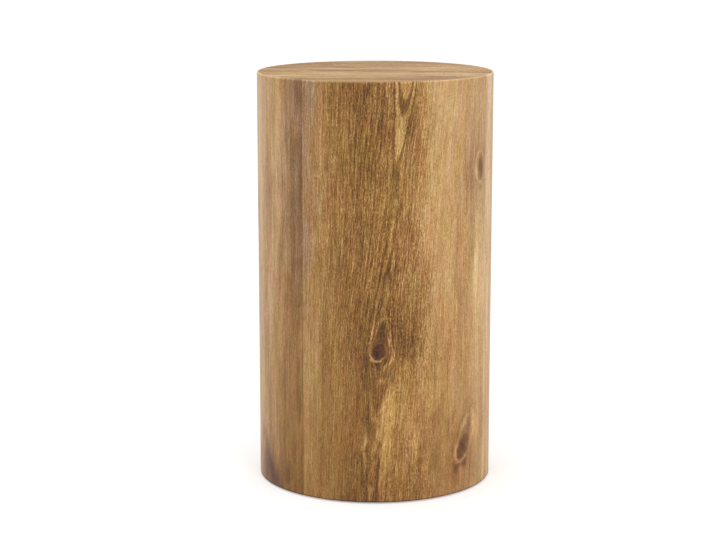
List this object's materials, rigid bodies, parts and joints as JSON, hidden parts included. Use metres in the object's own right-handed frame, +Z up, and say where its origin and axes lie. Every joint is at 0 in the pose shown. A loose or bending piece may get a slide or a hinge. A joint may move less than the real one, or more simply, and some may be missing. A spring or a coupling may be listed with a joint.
{
  "type": "side table",
  "caption": "Round drum side table: a closed wood-grain cylinder with a flat top, bent shells on a ring-and-batten skeleton, and a recessed base on low glides.",
  "frame": {"origin": "on the floor, under the drum's axis", "axes": "+Z up along the drum's axis, the pictured front faces -Y, +X is to the right in the picture"},
  "size_m": [0.3, 0.2999, 0.525],
  "materials": {
    "side_print": "wood-grain laminate, satin",
    "top_print": "wood-grain laminate, satin",
    "fibreboard": "raw medium-density fibreboard",
    "plywood": "thin birch plywood, sawn",
    "softwood": "planed softwood",
    "beech": "fluted beech rod, sawn",
    "zinc_steel": "bright zinc plating",
    "nylon": "moulded dark nylon"
  },
  "bodies": {
    "root": {"side_laminate": "side_print", "top_laminate": "top_print", "top_panel": "fibreboard", "rear_shell": "fibreboard", "front_shell": "fibreboard", "base_panel": "fibreboard", "bottom_former": "fibreboard", "mid_former": "fibreboard", "top_former": "fibreboard", "right_spline": "plywood", "left_spline": "plywood", "right_batten": "softwood", "rear_batten": "softwood", "left_batten": "softwood", "front_batten": "softwood", "top_dowels": "beech", "base_screws": "zinc_steel", "top_screws": "zinc_steel", "bottom_batten_screws": "zinc_steel", "mid_batten_screws": "zinc_steel", "top_batten_screws": "zinc_steel", "glide_nails": "zinc_steel", "rear_right_glide": "nylon", "rear_left_glide": "nylon", "front_left_glide": "nylon", "front_right_glide": "nylon"}
  },
  "joints": []
}
